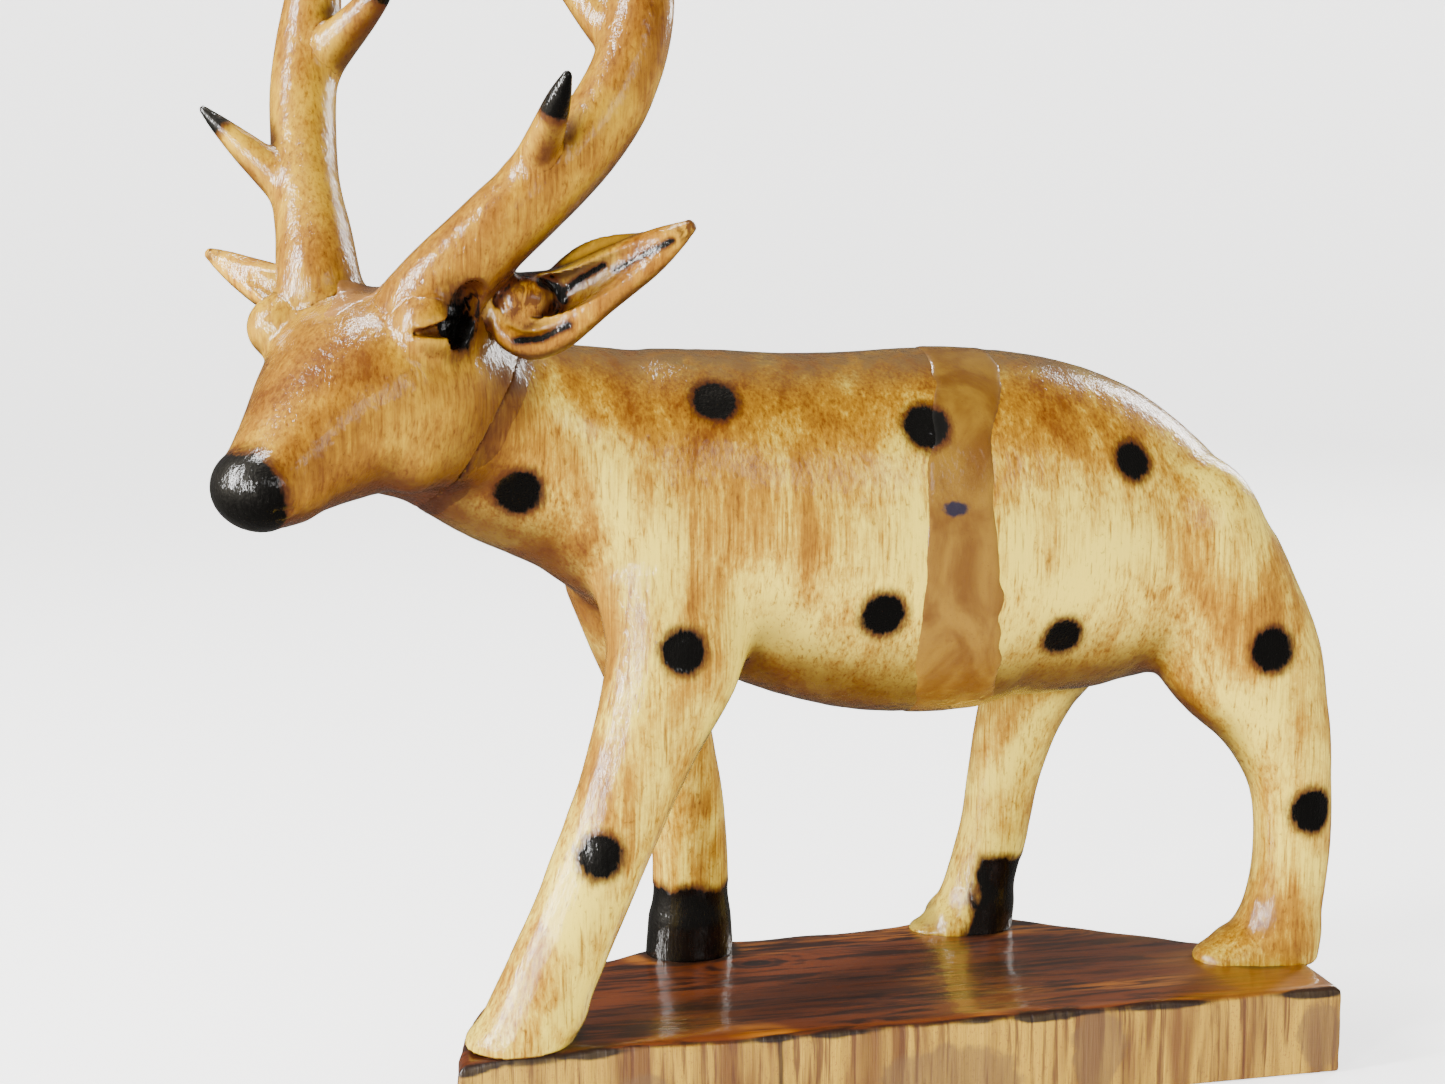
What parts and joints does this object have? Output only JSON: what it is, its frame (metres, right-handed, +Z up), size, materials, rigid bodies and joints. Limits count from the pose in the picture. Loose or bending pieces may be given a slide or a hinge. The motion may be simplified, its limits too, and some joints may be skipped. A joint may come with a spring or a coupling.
{
  "type": "carved stag statue",
  "caption": "Carved wooden stag with branching antlers and a turned head, walking on a half-log plinth; stands free on a shelf or table.",
  "frame": {"origin": "middle of the plinth's underside, between the two ends and 36 mm behind the sawn near face", "axes": "+Z up; the stag faces -X; its left flank and the plinth's sawn face look towards -Y"},
  "size_m": [0.3552, 0.116, 0.3849],
  "materials": {
    "body_wood": "golden wood with burnt spots under thick clear lacquer",
    "head_wood": "golden wood with a burnt nose under thick clear lacquer",
    "antler_wood": "golden wood with burnt tips under clear lacquer",
    "ear_wood": "golden wood with scorched hollows under clear lacquer",
    "stained_plinth": "red-brown stained and lacquered top, rough sawn sides",
    "putty": "brown wood filler under clear lacquer",
    "dowel_wood": "raw"
  },
  "bodies": {
    "root": {"plinth": "stained_plinth", "body_front": "body_wood", "body_rear": "body_wood", "head": "head_wood", "antler_beam_left": "antler_wood", "antler_beam_right": "antler_wood", "brow_tine_left": "antler_wood", "brow_tine_right": "antler_wood", "upper_tine_left": "antler_wood", "upper_tine_right": "antler_wood", "ear_left": "ear_wood", "ear_right": "ear_wood", "flank_filler": "putty", "neck_filler": "putty", "brow_filler": "putty", "body_dowel_upper": "dowel_wood", "body_dowel_lower": "dowel_wood", "neck_dowel": "dowel_wood", "foot_dowel_front_left": "dowel_wood", "foot_dowel_front_right": "dowel_wood", "foot_dowel_rear_left": "dowel_wood", "foot_dowel_rear_right": "dowel_wood"}
  },
  "joints": []
}
